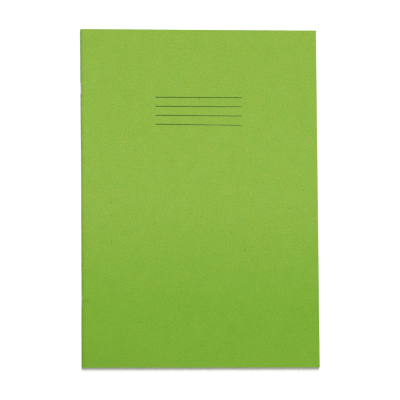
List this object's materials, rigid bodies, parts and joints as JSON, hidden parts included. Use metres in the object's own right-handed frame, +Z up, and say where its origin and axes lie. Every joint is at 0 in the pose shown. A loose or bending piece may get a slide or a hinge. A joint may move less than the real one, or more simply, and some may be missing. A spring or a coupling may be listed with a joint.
{
  "type": "exercise book",
  "caption": "Closed A4 exercise book: folded sheets in a plain green card cover with printed name lines, held by two wire staples through the fold.",
  "frame": {"origin": "under the middle of the closed book, on the surface that it lies on", "axes": "+Z up through the closed book, +Y toward the head of the pages, +X from the fold toward the fore-edge"},
  "size_m": [0.208, 0.297, 0.0044],
  "materials": {
    "cover_card": "matte",
    "line_ink": "matte",
    "page_paper": "matte",
    "staple_wire": "satin"
  },
  "bodies": {
    "book_block": {"page_block": "page_paper", "staple_upper": "staple_wire", "staple_lower": "staple_wire"},
    "front_cover": {"front_cover": "cover_card", "name_lines": "line_ink"},
    "back_cover": {"back_cover": "cover_card"}
  },
  "joints": [
    {"name": "front_cover_hinge", "type": "hinge", "parent": "book_block", "child": "front_cover", "pos_m": [-0.104, 0, 0.00218], "axis": [0, -1, 0], "range_deg": [0, 180]},
    {"name": "back_cover_hinge", "type": "hinge", "parent": "book_block", "child": "back_cover", "pos_m": [-0.104, 0, 0.00218], "axis": [0, 1, 0], "range_deg": [0, 180]}
  ]
}
